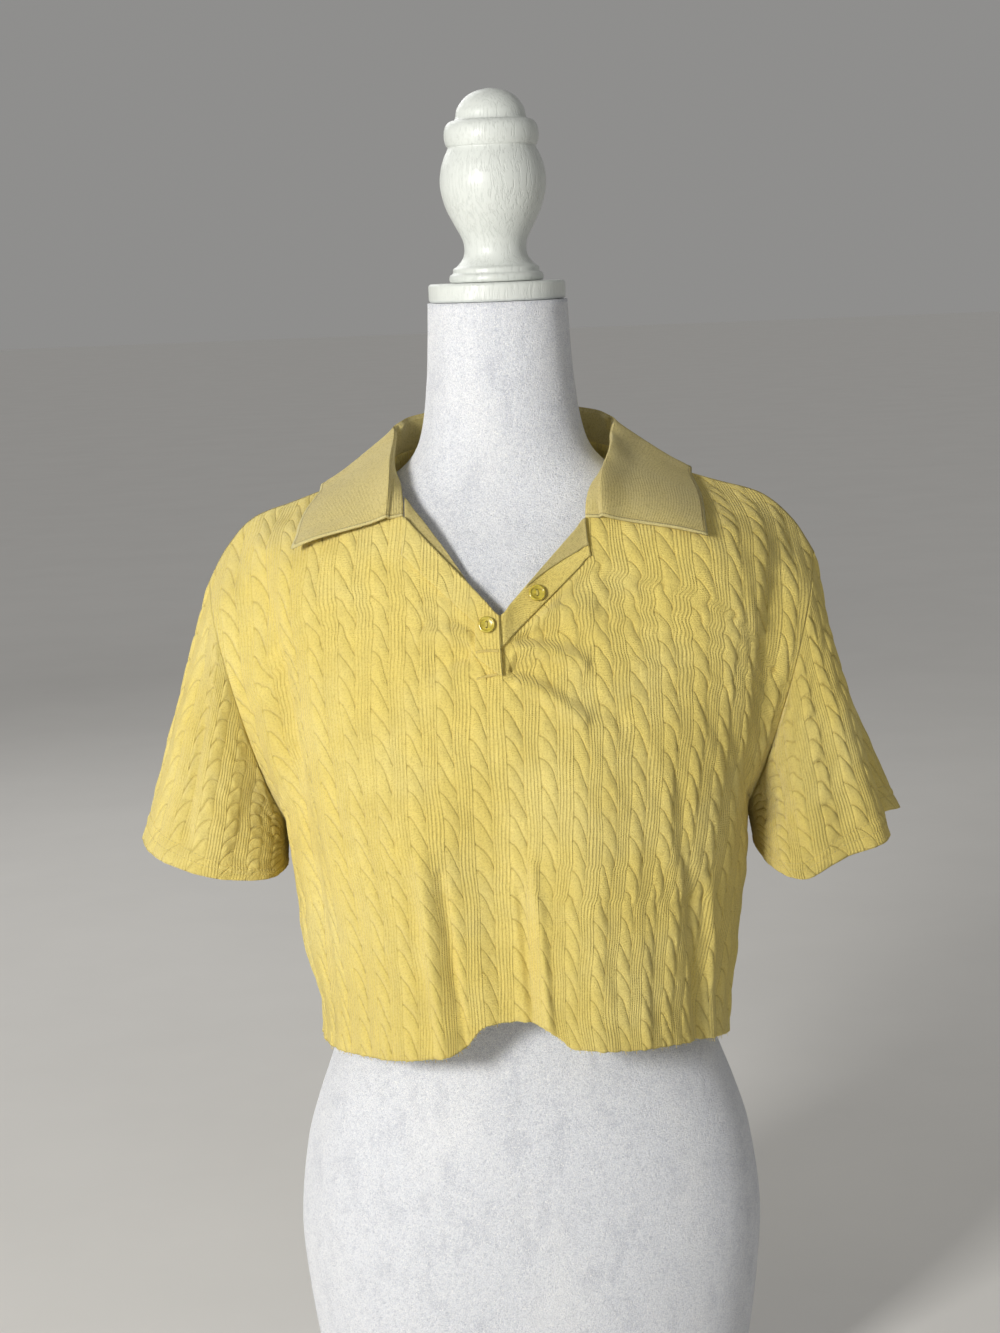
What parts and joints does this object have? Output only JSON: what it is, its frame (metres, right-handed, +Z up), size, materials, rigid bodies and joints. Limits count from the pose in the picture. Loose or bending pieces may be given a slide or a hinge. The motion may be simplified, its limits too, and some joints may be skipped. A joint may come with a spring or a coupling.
{
  "type": "crop top on a dress form",
  "caption": "Short-sleeved cable-knit polo crop top with a flat collar, an open button placket and a raw cropped hem, worn on a limbless velvet dress form with a turned finial.",
  "frame": {"origin": "centre of the dress form's flat underside, on the surface that it stands on", "axes": "+Z up through the neck finial; the garment's front faces -Y; +X is on the right of someone who looks at the front"},
  "size_m": [0.5588, 0.246, 0.9706],
  "materials": {
    "knit": "cable-knit cotton jersey, matt",
    "collar_knit": "fine flat-knit collar, matt",
    "button": "translucent polished",
    "velvet": "crushed velvet with a fine sparkle",
    "painted_wood": "satin paint over open grain"
  },
  "bodies": {
    "root": {"front": "knit", "back": "knit", "sleeve_left": "knit", "sleeve_right": "knit", "collar": "collar_knit", "placket_over": "knit", "placket_under": "collar_knit", "button_lower": "button", "button_upper": "button", "form": "velvet", "neck_cap": "painted_wood", "finial": "painted_wood"}
  },
  "joints": []
}
